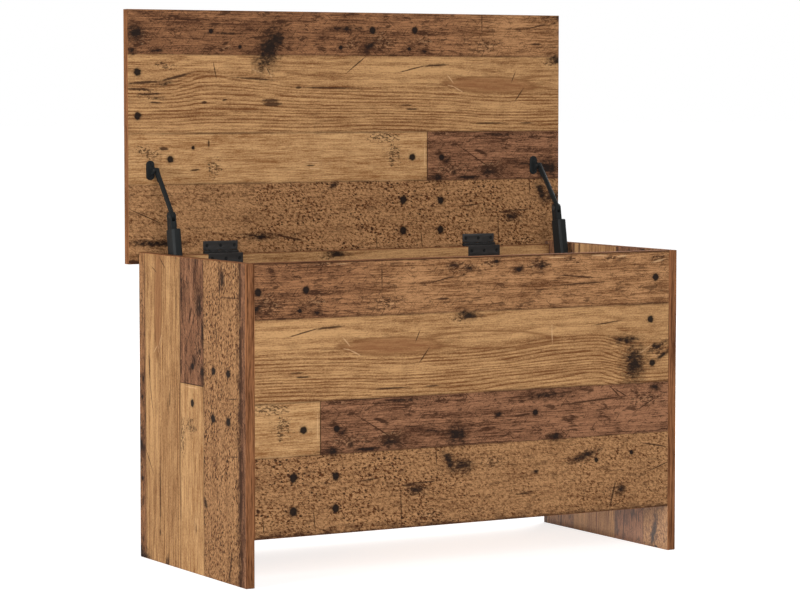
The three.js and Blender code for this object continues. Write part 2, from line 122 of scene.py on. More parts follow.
SHEET_START = -16.0
SHEET_DEPTH = 500.0
SHEET_END = SHEET_START + SHEET_DEPTH
SHEET_LENGTH = 1300.0
ROW_ENDS = {"smudged": 73.0, "ringed": 204.0, "joined": 288.0, "wormed": 416.0, "last": 484.0}
# Planks: their kind, and their darkest and lightest colour as a screen shows it
PLANKS = {
    "smudged": ("worn brown plank", (72, 44, 29), (154, 107, 73)),
    "clean": ("less worn end of the brown plank", (108, 69, 40), (188, 141, 97)),
    "ringed": ("golden plank with growth rings", (110, 69, 39), (194, 150, 102)),
    "pale": ("pale plank", (134, 90, 53), (202, 159, 110)),
    "red": ("dark reddish plank", (70, 42, 27), (156, 110, 80)),
    "wormed": ("tan plank with worm tracks", (85, 48, 25), (181, 136, 93)),
}
PLANK_OF_ROW = {"smudged": "smudged", "ringed": "ringed", "joined": "pale", "wormed": "wormed", "last": "red"}
# The butt joint's place along, and how far its dark line reaches and stays darkest
BUTT_JOINT = 571.0
JOINT_REACH = (1.3, 0.4)
SEAM_WIDTH = 2.2
RUINED_SEAM_WIDTH = 8.0
# How far the ruin round that seam reaches and where it is full, and where along it grows thinner
RUIN_REACH = (17, 3)
RUIN_THINNING = (500, 900)
# The last seam ends here at the latest, as a share of the sheet's depth
LAST_STOP = 0.9995

# How far the growth rings of the ringed plank swing across the grain: place along, swing. Less
# than the second value everywhere
RING_PATH = (
    (0, -6), (60, -8), (110, -18), (150, -25), (190, -22), (260, -12), (330, -2), (450, 0), (620, 3), (700, 9),
    (800, 9), (900, 4), (1050, -6), (1085, -7), (1112, -2), (1138, 6), (1170, 12), (1234, 13), (1300, -6),
)
RING_SWING = 40.0
# The swing fades between these places across, less so where it has grown between these along
SWING_FADE = (105, 168)
SWING_GROWTH = (420, 800)
# Where the rings grow tight across the grain, how wide one is above and below that, and how far
# the dark one between them reaches and stays darkest
RING_TURN = 127.0
WIDE_RING = 17.0
TIGHT_RING = 5.4
FIRST_RING = (2.6, 0.6)
# The ringed plank's grain is calmer past these places along
RINGED_CALMING = (780, 860)
# The reddish plank grows lighter between these places along
RED_LIGHTENING = (930, 1080)

# The smudged plank is smoother before this place along and past this place across
SMOOTH_STRIP = (342.0, 25.0)

# How clear and light the ringed plank's upper side is: place along, share from 0 to 1. It fades
# between two places across
CLEARNESS = (
    (0, 0.02), (380, 0.05), (460, 0.95), (600, 0.95), (680, 0.1), (780, 0.1), (860, 0.3), (1040, 0.35),
    (1110, 0.1), (1300, 0.02),
)
CLEAR_EDGE = (136, 118)

# How thick the worm tracks lie along the wormed plank: place along, share from 0 to 1
WORM_THICKNESS = (
    (0, 0.25), (180, 0.35), (300, 0.85), (500, 1.0), (760, 0.9), (860, 0.5), (930, 0.18), (1040, 0.25),
    (1090, 0.6), (1234, 0.45), (1300, 0.25),
)

# Length, width and turn in degrees of the cells that each can hold one worm hole
HOLE_CELL = (9.5, 6.6, 15)

# How worn the smudged plank is: dark and dirty at 1, clean and light at 0
WEAR = (
    (0, 0.95), (300, 0.95), (380, 0.95), (600, 0.85), (680, 0.5), (760, 0.3), (900, 0.35), (1000, 0.35),
    (1100, 0.25), (1300, 0.15),
)

# Kinds of dirt: length along and across, detail, roughness, turn in degrees, distortion, and the
# values between which it comes up
DIRT = {
    "blotches": (34, 10, 5, 0.7, 0, 0.3, 0.555, 0.66),
    "strokes": (17, 2.6, 3, 0.62, 0, 0, 0.61, 0.7),
    "nicks": (22, 2.0, 2, 0.6, -52, 0, 0.65, 0.72),
    "nicks_back": (26, 1.9, 2, 0.6, 38, 0, 0.67, 0.73),
}

# Rusted nail heads: along, across, radius
NAILS = (
    (462, 30, 6.5), (546, 29, 6.2), (535, 61, 3.6), (400, 60, 4), (153, 34, 4.4), (18, 103, 6.4),
    (18, 175, 6.2), (77, 247, 6), (541, 248, 6), (600, 249, 5.6), (119, 228, 3.2), (523, 322, 7.2),
    (598, 324, 6.4), (523, 375, 7.4), (598, 375, 6.6), (1207, 29, 6.2), (1197, 99, 5.8), (1201, 172, 5.8),
    (1090, 328, 4), (1160, 320, 4), (970, 243, 5.4), (207, 60, 3.4),
)

# Cracks, scratches and dark lines: along, across, half length, half width, turn in degrees
CRACKS = (
    (682, 14, 27, 1.1, 90), (1050, 23, 46, 1.3, 5), (1062, 35, 48, 1.5, -1.5), (795, 51, 12, 2, 0),
    (180, 55, 8, 2.6, -25), (172, 66, 5, 2.4, 0), (160, 100, 14, 1.1, 78), (235, 113.5, 42, 1.8, 3.5),
    (264, 150, 19, 3, 0), (267, 156, 21, 4, 2), (260, 100, 7, 1, 60), (378, 128.5, 62, 1.6, 0.5),
    (431, 88, 27, 1.2, -37), (542, 95.5, 34, 1.3, -12.7), (586, 89.5, 29, 2, -3.5), (759, 141, 18, 1.1, -52),
    (697, 190, 34, 1.6, 0), (775, 190, 16, 1.4, 0), (540, 165, 14, 1.6, 0), (530, 158, 12, 1.2, 0),
    (30, 120, 38, 2.6, -4), (88, 111, 32, 2.6, -14), (140, 153, 6, 2.6, 0), (178, 149, 5, 1.8, -10),
    (50, 153, 12, 1.8, 3), (318, 128, 7, 2.4, 0), (340, 260, 9, 1.4, 0), (123, 265, 9, 1.8, -5),
    (65, 229, 9, 3.4, 0), (148, 221, 2.2, 6, 0), (684, 259, 60, 1.1, 31.3), (680, 240, 13, 3.2, 18),
    (740, 253, 24, 1.4, 0), (1085, 229, 72, 1.7, -3.3), (1128, 218, 18, 1.2, 42), (1140, 220, 18, 1.1, 30),
    (945, 246, 19, 2.4, -6), (35, 342, 38, 1.1, 23), (755, 344, 34, 1.3, -1), (733, 346, 14, 3, -4),
    (717, 382, 33, 1, 88), (782, 305, 15, 1, 88), (660, 333, 22, 1.4, -4), (1207, 310, 29, 1.5, 10.5),
    (1214, 347, 25, 1.1, -18), (1123, 387, 27, 1.8, -75), (945, 375, 16, 1.3, 0), (300, 382, 33, 2.4, 12),
    (795, 20, 20, 1.2, -12), (845, -14, 420, 1.3, 0), (20, 131, 26, 1.9, 2), (42, 139, 26, 2, -3),
    (748, 108, 12, 0.9, -66), (1110, 102, 30, 1.2, -6), (640, 205, 70, 1.3, 0), (1190, 240, 26, 1.2, -28),
    (560, 392, 18, 1, 84), (470, 396, 14, 1, 84),
)

# Stains, burns and torn patches: along, across, half length, half width, turn in degrees, depth of colour
STAINS = (
    (13, 38, 17, 13, 0, 1), (8, 68, 9, 6, 0, 0.9), (55, 67, 13, 4, 0, 0.8), (178, 38, 50, 3, 0, 0.6),
    (262, 62, 40, 21, -68, 1), (278, 46, 20, 18, 0, 0.85), (455, 58, 20, 9, -35, 0.7), (410, 28, 38, 6, 0, 0.7),
    (937, 8, 10, 7, 0, 0.85), (895, -6, 7, 6, 0, 0.7), (813, -2, 12, 5, 0, 0.72), (846, 3, 11, 6, 0, 0.7),
    (984, 3, 13, 7, 0, 0.75), (841, 79, 21, 8, 3, 0.9), (1165, 172, 22, 32, 4, 0.9),
    (1150, 132, 34, 10, 3, 0.62), (1213, 145, 22, 4, -25, 0.8), (1222, 160, 18, 4, -30, 0.8),
    (611, 255, 10, 9, 0, 0.6), (626, 275, 8, 7, 0, 0.6), (700, 276, 24, 12, 0, 0.75),
    (590, 284, 20, 6, 0, 0.85), (655, 284, 30, 4.5, 0, 0.85), (820, 271, 20, 17, 0, 1),
    (775, 262, 38, 4, 6, 0.6), (900, 242, 9, 5.5, -25, 0.95), (1010, 285, 14, 8, 0, 0.9),
    (1208, 213, 13, 7, 0, 0.8), (990, 216, 70, 12, 0, 0.5), (720, 210, 60, 4, 0, 0.55),
    (66, 122, 26, 4, -8, 0.5), (54, 146, 16, 3.5, 2, 0.55), (50, 386, 56, 6, 2, 0.8), (245, 378, 30, 8, 0, 0.6),
    (385, 295, 10, 5, -20, 0.9), (805, 312, 20, 8, 62, 0.9), (832, 321, 19, 10, 0, 0.85),
    (1067, 320, 30, 6, -17, 0.85), (1140, 380, 10, 9, 0, 0.8), (972, 340, 6, 4.5, 0, 0.7),
    (745, 354, 16, 8, 0, 0.7), (566, 66, 11, 5, 5, 0.8), (1205, 145, 9, 5, -30, 0.8),
)

# Scuffed patches, thick with fine dark flecks and light crumbs, written like the stains
SCUFFS = (
    (480, 50, 44, 26, 0, 0.75), (575, -10, 40, 7, 0, 0.7), (560, 48, 40, 20, 0, 0.6),
    (692, 54, 42, 16, 0, 0.85), (826, 2, 40, 14, 0, 0.85), (884, -4, 22, 10, 0, 0.85),
    (975, 2, 34, 15, 0, 0.85), (1042, -4, 22, 12, 0, 0.7), (1120, -6, 50, 8, 0, 0.6),
    (1214, -4, 24, 10, 0, 0.85), (420, 56, 30, 18, 0, 0.7), (180, 62, 30, 10, 0, 0.5), (22, 44, 34, 26, 0, 0.7),
    (268, 60, 52, 34, -20, 0.55), (66, 92, 34, 13, 5, 0.6), (34, 136, 34, 24, 0, 0.45),
    (822, 84, 34, 14, 0, 0.5), (1160, 160, 56, 46, 0, 0.4), (1216, 150, 34, 20, -25, 0.7),
    (486, 213, 40, 12, 0, 1), (504, 242, 20, 28, 0, 0.9), (158, 262, 22, 28, 0, 0.75),
    (36, 236, 40, 18, 15, 0.75), (620, 270, 50, 18, 0, 0.8), (700, 270, 46, 20, 0, 0.7),
    (600, 208, 44, 6, 0, 0.6), (790, 212, 60, 10, 0, 0.5), (1190, 232, 70, 22, 0, 0.6),
    (1010, 284, 50, 9, 0, 0.6), (826, 322, 46, 26, 20, 0.75), (888, 320, 44, 22, 0, 0.55),
    (744, 356, 50, 26, 0, 0.6), (1068, 322, 54, 16, -12, 0.75), (240, 378, 90, 18, 3, 0.55),
    (50, 384, 70, 16, 0, 0.6), (1130, 384, 50, 22, 0, 0.5), (950, 372, 60, 14, 0, 0.35),
    (770, 396, 60, 16, 0, 0.5),
)

# How much further off than it is the faintest mark counts
FAINTNESS = 0.85
# Marks are read this many at a time, each lot moved by next to nothing after the one before
MARKS_AT_ONCE = 6
NO_SHIFT = (1e-7, 1e-7, 0.0)

# Smooth reddish lenses in the ringed plank: along, across, half length, half width, turn, depth of colour
LENSES = ((700, 123, 92, 13, 1, 1),)

# Ends of growth rings that close on themselves: along, across, half length, half width, turn
ARCHES = ((884, 120, 118, 14, 2), (702, 123, 92, 13.5, 1))

# Torn fibres that show lighter: along, across, half length, half width, turn, depth of colour
SPLINTERS = (
    (617, 112, 11, 1.2, 48, 1), (619, 125, 9, 1.1, 12, 0.9), (632, 130, 14, 1.2, 26, 1),
    (262, 104, 12, 1.4, 55, 0.9), (238, 100, 14, 1.3, 20, 0.9), (1002, 116, 18, 1.5, 88, 0.9),
    (345, 255, 18, 1.6, 3, 0.8), (348, 265, 14, 1.4, 0, 0.8), (566, 246, 38, 1.6, 90, 0.7),
    (1010, -9, 22, 1.3, 0, 0.9), (1095, -10, 18, 1.4, 2, 1), (1140, -8, 12, 1.5, -4, 1),
    (1212, 2, 16, 1.8, -12, 1), (610, -10, 16, 1.2, 0, 0.8), (690, 263, 10, 1.1, 15, 0.7),
    (1185, 150, 22, 1.4, -30, 0.8),
)

# Where each board face lies on the sheet: (axis, direction, start) along the grain and across it
FACES = {
    "lid_inside": (("X", 1, 421.5), ("Z", -1, 904)),
    "lid_outside": (("X", -1, 678.5), ("Z", 1, -485)),
    "front_outside": (("X", 1, 844.7), ("Z", -1, 490)),
    "front_inside": (("X", -1, 410.3), ("Z", -1, 490)),
    "back_inside": (("X", 1, 883.7), ("Z", -1, 573)),
    "back_outside": (("X", -1, 700), ("Z", -1, 500)),
    "left_outside": (("Z", 1, 268), ("Y", -1, 232.6)),
    "left_inside": (("Z", -1, 1150), ("Y", 1, 200)),
    "right_inside": (("Z", -1, 1090), ("Y", -1, 160)),
    "right_outside": (("Z", 1, 640), ("Y", 1, 185)),
    "bottom_inside": (("X", 1, 450), ("Y", 1, 260)),
    "bottom_outside": (("X", -1, 500), ("Y", 1, 200)),
}

# The faces of each board, the one with the lower coordinate first
BOARDS = {
    "left_side_board": ("left_outside", "left_inside"),
    "right_side_board": ("right_inside", "right_outside"),
    "front_board": ("front_outside", "front_inside"),
    "back_board": ("back_inside", "back_outside"),
    "bottom_board": ("bottom_outside", "bottom_inside"),
    "lid_board": ("lid_inside", "lid_outside"),
}

# How far the printed paper shines: duller on the outer sides, and rubbed smooth on the inner ones
PAPER_SHEEN = 0.07
FACE_SHEEN = {"left_outside": 0.04, "right_outside": 0.04, "right_inside": 0.6, "left_inside": 0.6}

# Camera: its place, how far it looks down and its turn about Z in degrees, its sensor in
# millimetres, and how far it sees in metres
CAMERA_PLACE = (-2.5019, -4.2952, 0.7656)
CAMERA_DIP = 3.942
CAMERA_TURN = -30.0891
SENSOR_WIDTH = 36
FAR_CLIP = 200

# Softboxes: setting with the power, side in metres, place, and the point each one lights
LAMPS = {
    "key_softbox": ("key_power", 2.2, (-7.4, -1.7, 1.3), (0, 0, 0.45)),
    "front_softbox": ("front_power", 2.6, (-1.5, -5.35, 2.6), (0, 0, 0.6)),
    "fill_softbox": ("fill_power", 2.6, (3.6, 2.2, 2.6), (0, 0, 0.45)),
    "floor_bounce": ("bounce_power", 0.76, (0, 0, 0.004), (0, 0, 1)),
}
BOUNCE_DEPTH = 0.34

# The floor's reach, and the distances between which its glow rises, in metres from the chest
FLOOR_REACH = 60
GLOW_REACH = (1.2, 5.0)


def colour_setting(name, description, default):
    return FloatVectorProperty(
        name=name, description=description, subtype="COLOR", size=3, min=0, max=1, default=default)


def number_setting(name, description, default, least, most, **kind):
    return FloatProperty(name=name, description=description, default=default, min=least, max=most, **kind)


class PrintSettings(bpy.types.PropertyGroup):
    """The colours of the decor sheet and how deep its grain is pressed."""

    nail: colour_setting("Nail heads", "Printed rusted nail heads and burns", linear(24, 18, 15))
    crack: colour_setting("Cracks", "Printed cracks, scratches and seams", linear(56, 34, 22))
    lens: colour_setting("Lenses", "Smooth reddish lenses in the ringed plank", linear(132, 87, 55))
    splinter: colour_setting("Torn fibres", "Light torn fibres beside cracks and knots", linear(212, 172, 128))
    band_low: colour_setting("Edge band, shade", "Dark streaks of the boards' edge band", linear(78, 45, 27))
    band_high: colour_setting(
        "Edge band, light", "Ground colour of the boards' edge band", linear(152, 102, 67))
    emboss: number_setting(
        "Grain depth", "How deep the grain is pressed into the paper",
        0.05 * MM, 0, 0.5 * MM, unit="LENGTH")


for plank, (kind, shade, light) in PLANKS.items():
    PrintSettings.__annotations__.update({
        f"{plank}_low": colour_setting(
            f"{plank.title()}, shade", f"Darkest grain of the {kind}", linear(*shade)),
        f"{plank}_high": colour_setting(
            f"{plank.title()}, light", f"Lightest grain of the {kind}", linear(*light)),
    })


class BoardSettings(bpy.types.PropertyGroup):
    """How the boards' arrises are finished."""

    arris: number_setting(
        "Arris", "Radius of a board's rounded edges",
        0.7 * MM, 0.1 * MM, 3 * MM, unit="LENGTH")
    arris_steps: IntProperty(
        name="Arris steps", description="Faces round a board's edge", default=3, min=1, max=8)
    dowel_low: colour_setting("Dowel grain", "Darker grain of the beech dowels", linear(196, 166, 122))
    dowel_high: colour_setting("Dowel wood", "Ground colour of the beech dowels", linear(226, 202, 162))


class HardwareSettings(bpy.types.PropertyGroup):
    """The finish of the hinges and lid stays."""

    steel: colour_setting(
        "Coated steel", "Powder coat on the hinges, brackets and stay pins", linear(48, 46, 45))
    # The hinge pins share this darker finish as painted shade in the gap between the knuckles; the screws are
    # blackened
    screws: colour_setting("Screws", "Blackened screws and hinge pins", linear(30, 30, 30))
    plastic: colour_setting(
        "Moulded plastic", "Housings, necks, arms and lid plates of the stays", linear(28, 30, 30))
    softening: number_setting(
        "Softening", "Radius on the hardware's edges",
        0.35 * MM, 0.05 * MM, 2 * MM, unit="LENGTH")


class StageSettings(bpy.types.PropertyGroup):
    """The studio: floor, lamps and camera."""

    paper: colour_setting("Floor", "Colour of the floor and background", (0.56, 0.56, 0.56))
    key_power: number_setting(
        "Key lamp", "Softbox at the left of the chest", 430, 0, 5000, unit="POWER")
    front_power: number_setting(
        "Front lamp", "Softbox before the chest, at the height of its lid", 228, 0, 5000, unit="POWER")
    fill_power: number_setting(
        "Fill lamp", "Softbox at the right and behind", 220, 0, 5000, unit="POWER")
    bounce_power: number_setting(
        "Floor bounce", "Light thrown back by the floor under the box", 0.62, 0, 50, unit="POWER")
    room_light: number_setting("Room light", "Even light from all round", 0.175, 0, 2)
    near_glow: number_setting("Floor glow, near", "How much the floor glows near the chest", 0.77, 0, 1)
    far_glow: number_setting("Floor glow, far", "How much the floor glows far away", 0.97, 0, 1)
    lens_length: number_setting(
        "Lens", "Focal length of the camera", 134.73, 10, 500, subtype="DISTANCE_CAMERA")


# Shader wiring


class Wiring:
    """Adds shader nodes to one node tree and wires them up."""

    def __init__(self, tree):
        self.tree = tree

    def feed(self, socket, value):
        if isinstance(value, bpy.types.NodeSocket):
            self.tree.links.new(value, socket)
        else:
            socket.default_value = value

    def add(self, kind, inputs=(), **settings):
        """A new node, and its inputs fed in order or by name or number."""
        node = self.tree.nodes.new(f"ShaderNode{kind}")
        for name, value in settings.items():
            setattr(node, name, value)
        for name, value in inputs.items() if isinstance(inputs, dict) else enumerate(inputs):
            self.feed(node.inputs[name], value)
        return node

    def math(self, operation, *values, clamp=False):
        return self.add("Math", values, operation=operation, use_clamp=clamp).outputs[0]

    def total(self, first, *others):
        for other in others:
            first = self.math("ADD", first, other)
        return first

    def product(self, first, *others):
        for other in others:
            first = self.math("MULTIPLY", first, other)
        return first

    def blend(self, *parts):
        """The sum of these values, each given with its share."""
        return self.total(*(self.product(*part) for part in parts))

    def distance(self, first, second):
        return self.math("ABSOLUTE", self.math("SUBTRACT", first, second))

    def span(self, value, low, high, start=0.0, end=1.0, smooth=False):
        return self.add("MapRange", {
            "Value": value, "From Min": low, "From Max": high, "To Min": start, "To Max": end,
        }, interpolation_type="SMOOTHSTEP" if smooth else "LINEAR", clamp=True).outputs["Result"]

    def measured(self, point, units, start=(0.0, 0.0, 0.0), turn=0.0):
        """A point measured from start in its own units along turned axes."""
        return self.add("Mapping", {
            "Vector": point, "Location": start, "Rotation": (0.0, 0.0, math.radians(turn)), "Scale": units,
        }, vector_type="TEXTURE").outputs["Vector"]

    def noise(self, place, along, across, detail=2.0, roughness=0.5, turn=0.0, distortion=0.0):
        """Noise on the sheet, of about that length along and across the grain."""
        return self.add("TexNoise", {
            "Vector": self.measured(place, (along, across, 1.0), turn=turn), "Scale": 1.0,
            "Detail": detail, "Roughness": roughness, "Distortion": distortion,
        }, noise_dimensions="2D").outputs["Fac"]

    def cloud(self, point, detail, roughness, scale=1.0):
        """Noise in space."""
        return self.add("TexNoise", {
            "Vector": point, "Scale": scale, "Detail": detail, "Roughness": roughness,
        }).outputs["Fac"]

    def about_zero(self, value, share):
        """A noise value moved to lie about zero and made that many times larger."""
        return self.math("MULTIPLY_ADD", value, share, -0.5 * share)

    def after(self, value, place):
        """The same place, but not read before value is known: too many values held at once don't fit."""
        return self.add("VectorMath", (value, NO_SHIFT, place), operation="MULTIPLY_ADD").outputs["Vector"]

    def length(self, vector):
        return self.add("VectorMath", (vector,), operation="LENGTH").outputs["Value"]

    def object_point(self):
        return self.add("TexCoord").outputs["Object"]

    def bump(self, height, strength, distance):
        return self.add("Bump", {
            "Height": height, "Strength": strength, "Distance": distance,
        }).outputs["Normal"]

    def mix(self, share, first, second):
        return self.add("Mix", {0: share, 6: first, 7: second}, data_type="RGBA").outputs[2]

    def tint(self, colour, share, plain):
        """A colour moved that share of the way to a plain one."""
        return self.mix(share, colour, opaque(plain))

    def ramp(self, value, stops, kind="CONSTANT"):
        node = self.add("ValToRGB", {"Fac": value})
        node.color_ramp.interpolation = kind
        elements = node.color_ramp.elements
        while len(elements) > 1:
            elements.remove(elements[-1])
        elements[0].position, elements[0].color = stops[0]
        for position, colour in stops[1:]:
            elements.new(position).color = colour
        return node.outputs["Color"]

    def curve(self, value, points, low, high):
        """Reads a drawn line of (place, height) at value."""
        first, last = points[0][0], points[-1][0]
        node = self.add("FloatCurve", {"Value": self.span(value, first, last)})
        line = node.mapping.curves[0]
        spots = [((x - first) / (last - first), (y - low) / (high - low)) for x, y in points]
        line.points[0].location = spots[0]
        line.points[-1].location = spots[-1]
        for x, y in spots[1:-1]:
            line.points.new(x, y)
        node.mapping.update()
        return self.math("MULTIPLY_ADD", node.outputs["Value"], high - low, low)


def new_group(name, inputs, outputs):
    """The wiring of a new node group, and what it is given and has to make."""
    group = bpy.data.node_groups.new(name, "ShaderNodeTree")
    for way, sockets in (("INPUT", inputs), ("OUTPUT", outputs)):
        for label, kind in sockets.items():
            group.interface.new_socket(label, in_out=way, socket_type=kind)
    given = group.nodes.new("NodeGroupInput").outputs
    return Wiring(group), given, group.nodes.new("NodeGroupOutput").inputs


def new_material(name):
    """An empty material and its wiring."""
    material = bpy.data.materials.new(name)
    material.use_nodes = True
    material.node_tree.nodes.clear()
    return material, Wiring(material.node_tree)


def finish_material(wires, colour, roughness, normal, specular=0.5):
    shader = wires.add("BsdfPrincipled", {
        "Base Color": colour, "Roughness": roughness, "Normal": normal, "Specular IOR Level": specular,
    })
    wires.add("OutputMaterial", {"Surface": shader.outputs["BSDF"]})


def row_stops(colours):
    """Ramp stops that give each plank row its own colour."""
    starts = (SHEET_START, *ROW_ENDS.values())
    return [((start - SHEET_START) / SHEET_DEPTH, opaque(colours[row])) for row, start in zip(ROW_ENDS, starts)]


class Sheet:
    """Where a point lies on the decor sheet, which plank it is in, and how worn the sheet is there."""

    def __init__(self, wires, along, across):
        self.wires = wires
        self.along = along
        self.place = wires.add("CombineXYZ", (along, across)).outputs[0]
        self.across = wires.math("WRAP", across, SHEET_END, SHEET_START)
        ragged = wires.about_zero(self.noise(26, 26, 3), 1.6)
        self.share = wires.span(wires.total(self.across, ragged), SHEET_START, SHEET_END)
        # Red for the ringed row, green for the joined one and blue for the wormed one
        flags = {row: [float(row == kind) for kind in ("ringed", "joined", "wormed")] for row in ROW_ENDS}
        rows = wires.add("SeparateColor", {"Color": wires.ramp(self.share, row_stops(flags))}).outputs
        self.ringed, self.joined, self.wormed = rows["Red"], rows["Green"], rows["Blue"]
        self.red = wires.product(self.joined, wires.math("GREATER_THAN", along, BUTT_JOINT))
        self.pale = wires.math("SUBTRACT", self.joined, self.red)
        self.rest = wires.math("SUBTRACT", 1, wires.total(self.ringed, self.joined, self.wormed), clamp=True)
        self.wear = wires.curve(along, WEAR, 0, 1)

    def noise(self, *size, **shape):
        return self.wires.noise(self.place, *size, **shape)


def plank_grain(wires, sheet):
    """The tone that bands, streaks and fibres give, and the streaks and fibres by themselves."""
    bands = sheet.noise(300, 13, 3, 0.6)
    streaks = sheet.noise(60, 2.4, 4, 0.68)
    fibres = sheet.noise(14, 1.1, 2, 0.6)
    clouds = sheet.noise(70, 26, 4, 0.6)
    pores = sheet.noise(3.4, 1.9, 2, 0.6)
    smooth_strip = wires.product(
        wires.math("LESS_THAN", sheet.along, SMOOTH_STRIP[0]),
        wires.math("GREATER_THAN", sheet.across, SMOOTH_STRIP[1]),
        wires.math("LESS_THAN", sheet.across, ROW_ENDS["smudged"]))
    calm = wires.blend(
        (sheet.ringed, wires.span(sheet.along, *RINGED_CALMING, 0.33, 0.45)), (sheet.pale, 0.15),
        (sheet.wormed, 0.6), (smooth_strip, 0.3),
    )
    weights = ((bands, 1.3), (streaks, 2.4), (fibres, 1.2), (clouds, 1.0))
    grain = wires.total(*(wires.about_zero(value, share) for value, share in weights))
    lively = wires.math("SUBTRACT", 1, calm)
    return wires.math("MULTIPLY_ADD", grain, lively, wires.about_zero(pores, 0.9)), streaks, fibres


def growth_rings(wires, sheet):
    """How dark the rings of the ringed plank are. They swing round its knots."""
    swing = wires.curve(sheet.along, RING_PATH, -RING_SWING, RING_SWING)
    hold = wires.span(sheet.across, *SWING_FADE, 1.0, wires.span(sheet.along, *SWING_GROWTH, 0.2, 0.8))
    wander = wires.about_zero(sheet.noise(210, 60, 2), 8)
    ring_place = wires.total(sheet.across, wires.product(swing, hold, -1), wander)
    below = wires.math("SUBTRACT", ring_place, RING_TURN)
    tight = wires.math("GREATER_THAN", below, 0)
    pitch = wires.span(tight, 0, 1, 1 / WIDE_RING, 1 / TIGHT_RING)
    uneven = wires.about_zero(sheet.noise(600, 24, 1), 1.8)
    turn = wires.math("FRACT", wires.math("MULTIPLY_ADD", below, pitch, uneven))
    ring = wires.product(wires.span(turn, 0.32, 0.86, smooth=True), wires.span(turn, 1.0, 0.9))
    fade = wires.span(sheet.noise(190, 14, 2), 0.3, 0.6, 0.45, 1.0)
    depth = wires.product(ring, wires.span(tight, 0, 1, 0.3, 0.62))
    first_ring = wires.span(wires.math("ABSOLUTE", below), *FIRST_RING, 0.0, 0.46)
    return wires.product(wires.math("MAXIMUM", depth, first_ring), fade, sheet.ringed)


def worm_tracks(wires, sheet):
    """Short dark tracks, the crumbs and hollows beside them, and round holes."""
    flocks = wires.span(sheet.noise(60, 30, 3, 0.6), 0.38, 0.6, 0.2, 1.0)
    thick = wires.product(wires.curve(sheet.along, WORM_THICKNESS, 0, 1), sheet.wormed, flocks)
    chatter = sheet.noise(6.2, 3.8, 3.5, 0.72, turn=24, distortion=0.35)
    tracks = wires.product(wires.span(chatter, 0.47, 0.4, smooth=True), thick)
    crumbs = wires.product(wires.about_zero(chatter, 1.9), sheet.wormed)
    length, width, turn = HOLE_CELL
    cells = wires.add("TexVoronoi", {
        "Vector": wires.measured(sheet.place, (length, width, 1.0), turn=turn),
        "Scale": 1.0, "Randomness": 1.0,
    }, voronoi_dimensions="2D", feature="F1").outputs
    chance = wires.add("SeparateColor", {"Color": cells["Color"]}).outputs["Red"]
    size = wires.product(chance, thick)
    edge = wires.math("MULTIPLY_ADD", size, 0.37, wires.product(cells["Distance"], -1))
    return tracks, crumbs, wires.span(edge, 0.0, 0.08, 0.0, 0.95)


def plank_dirt(wires, sheet):
    """Blotches, strokes along the grain, slanting nicks, and the ruined edge of the wormed plank."""
    dirty = wires.blend(
        (sheet.rest, wires.span(sheet.wear, 0, 1, 0.6, 1.0)), (sheet.red, 0.95), (sheet.wormed, 0.5),
        (sheet.ringed, 0.22), (sheet.pale, 0.18),
    )
    marks = 0
    for along, across, detail, roughness, turn, distortion, least, full in DIRT.values():
        noise = sheet.noise(along, across, detail, roughness, turn, distortion)
        marks = wires.math("MAXIMUM", marks, wires.span(noise, least, full, smooth=True))
    near_edge = wires.span(wires.distance(sheet.across, ROW_ENDS["wormed"]), *RUIN_REACH)
    crumbling = wires.span(sheet.noise(24, 8, 4, 0.7), 0.43, 0.54, smooth=True)
    ruin = wires.product(near_edge, crumbling, wires.span(sheet.along, *RUIN_THINNING, 1.0, 0.75))
    return wires.math("MAXIMUM", wires.product(marks, dirty), ruin)


def plank_gaps(wires, sheet):
    """The seams between the rows, a ruined one under the wormed plank, and the butt joint."""
    wood, gap = opaque((0, 0, 0)), opaque((1, 1, 1))
    stops = [(0.0, gap), (0.004, gap), (0.01, wood)]
    for row, end in ROW_ENDS.items():
        centre = (end - SHEET_START) / SHEET_DEPTH
        reach = (RUINED_SEAM_WIDTH if row == "wormed" else SEAM_WIDTH) / 2 / SHEET_DEPTH
        stops += [
            (centre - 1.5 * reach, wood), (centre - 0.3 * reach, gap),
            (min(centre + 0.3 * reach, LAST_STOP), gap), (centre + 1.5 * reach, wood),
        ]
    seams = wires.ramp(sheet.share, [stop for stop in stops if stop[0] < 1.0], "LINEAR")
    joint = wires.product(wires.span(wires.distance(sheet.along, BUTT_JOINT), *JOINT_REACH), sheet.joined)
    fade = wires.span(sheet.noise(60, 60, 2), 0.35, 0.6, 0.5, 1.0)
    return wires.product(wires.math("MAXIMUM", seams, joint), fade)


def plank_colour(wires, sheet, tone, look):
    """The colour of a point's row, or of the piece that differs from the rest of its row."""
    cleaner = wires.product(
        sheet.rest, wires.math("SUBTRACT", 1, sheet.wear),
        wires.math("LESS_THAN", sheet.across, ROW_ENDS["ringed"]))
    shades = []
    for end in ("low", "high"):
        colours = {row: getattr(look, f"{plank}_{end}") for row, plank in PLANK_OF_ROW.items()}
        shade = wires.ramp(sheet.share, row_stops(colours))
        for plank, share in (("red", sheet.red), ("clean", cleaner)):
            shade = wires.tint(shade, share, getattr(look, f"{plank}_{end}"))
        shades.append(shade)
    return wires.mix(tone, *shades)


